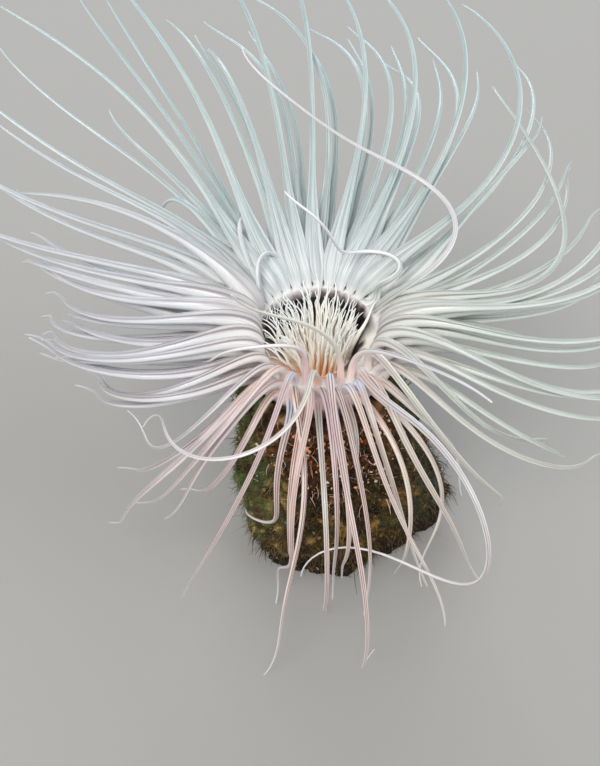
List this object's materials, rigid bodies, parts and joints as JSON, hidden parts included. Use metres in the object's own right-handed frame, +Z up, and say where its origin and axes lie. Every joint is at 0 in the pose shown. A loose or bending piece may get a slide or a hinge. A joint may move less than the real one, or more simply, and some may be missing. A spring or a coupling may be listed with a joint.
{
  "type": "tube anemone",
  "caption": "Tube-dwelling anemone with long tapering marginal tentacles, a tuft of short labial tentacles round the mouth and a felted tube, for display.",
  "frame": {"origin": "centre of the tube's flat foot, on the floor", "axes": "+Z up along the tube; -Y is the front, where the crown leans to; +X to the right"},
  "size_m": [0.349, 0.2966, 0.2216],
  "materials": {
    "marginal_tentacle": "moist, translucent whitish skin with two fine grey-brown lines along each tentacle",
    "labial_tentacle": "moist, translucent cream skin",
    "mouth": "moist orange-buff skin",
    "oral_disc": "moist, nearly black purple-brown skin",
    "column": "moist brown-grey skin",
    "tube_felt": "felted mucus with sand, shell grains and algae, rough and matt"
  },
  "bodies": {
    "root": {"marginal_tentacles_01": "marginal_tentacle", "marginal_tentacles_02": "marginal_tentacle", "marginal_tentacles_03": "marginal_tentacle", "marginal_tentacles_04": "marginal_tentacle", "marginal_tentacles_05": "marginal_tentacle", "marginal_tentacles_06": "marginal_tentacle", "marginal_tentacles_07": "marginal_tentacle", "marginal_tentacles_08": "marginal_tentacle", "marginal_tentacles_09": "marginal_tentacle", "marginal_tentacles_10": "marginal_tentacle", "marginal_tentacles_11": "marginal_tentacle", "marginal_tentacles_12": "marginal_tentacle", "marginal_tentacles_13": "marginal_tentacle", "marginal_tentacles_14": "marginal_tentacle", "marginal_tentacles_15": "marginal_tentacle", "marginal_tentacles_16": "marginal_tentacle", "marginal_tentacles_17": "marginal_tentacle", "marginal_tentacles_18": "marginal_tentacle", "marginal_tentacles_19": "marginal_tentacle", "marginal_tentacles_20": "marginal_tentacle", "marginal_tentacles_21": "marginal_tentacle", "marginal_tentacles_22": "marginal_tentacle", "marginal_tentacles_23": "marginal_tentacle", "marginal_tentacles_24": "marginal_tentacle", "marginal_tentacles_25": "marginal_tentacle", "marginal_tentacles_26": "marginal_tentacle", "marginal_tentacles_27": "marginal_tentacle", "marginal_tentacles_28": "marginal_tentacle", "marginal_tentacles_29": "marginal_tentacle", "marginal_tentacles_30": "marginal_tentacle", "marginal_tentacles_31": "marginal_tentacle", "marginal_tentacles_32": "marginal_tentacle", "marginal_tentacles_33": "marginal_tentacle", "marginal_tentacles_34": "marginal_tentacle", "marginal_tentacles_35": "marginal_tentacle", "marginal_tentacles_36": "marginal_tentacle", "tentacle_front_loop_end": "marginal_tentacle", "tentacle_crossing_end": "marginal_tentacle", "tentacle_right_swept_end": "marginal_tentacle", "tentacle_front_left_end": "marginal_tentacle", "tentacle_back_arch_end": "marginal_tentacle", "tentacle_left_hook_end": "marginal_tentacle", "labial_tentacles_1": "labial_tentacle", "labial_tentacles_2": "labial_tentacle", "labial_tentacles_3": "labial_tentacle", "labial_tentacles_4": "labial_tentacle", "labial_tentacles_5": "labial_tentacle", "labial_tentacles_6": "labial_tentacle", "labial_tentacles_7": "labial_tentacle", "mouth": "mouth", "oral_disc": "oral_disc", "column": "column", "tube_lower": "tube_felt", "tube_upper": "tube_felt"}
  },
  "joints": []
}
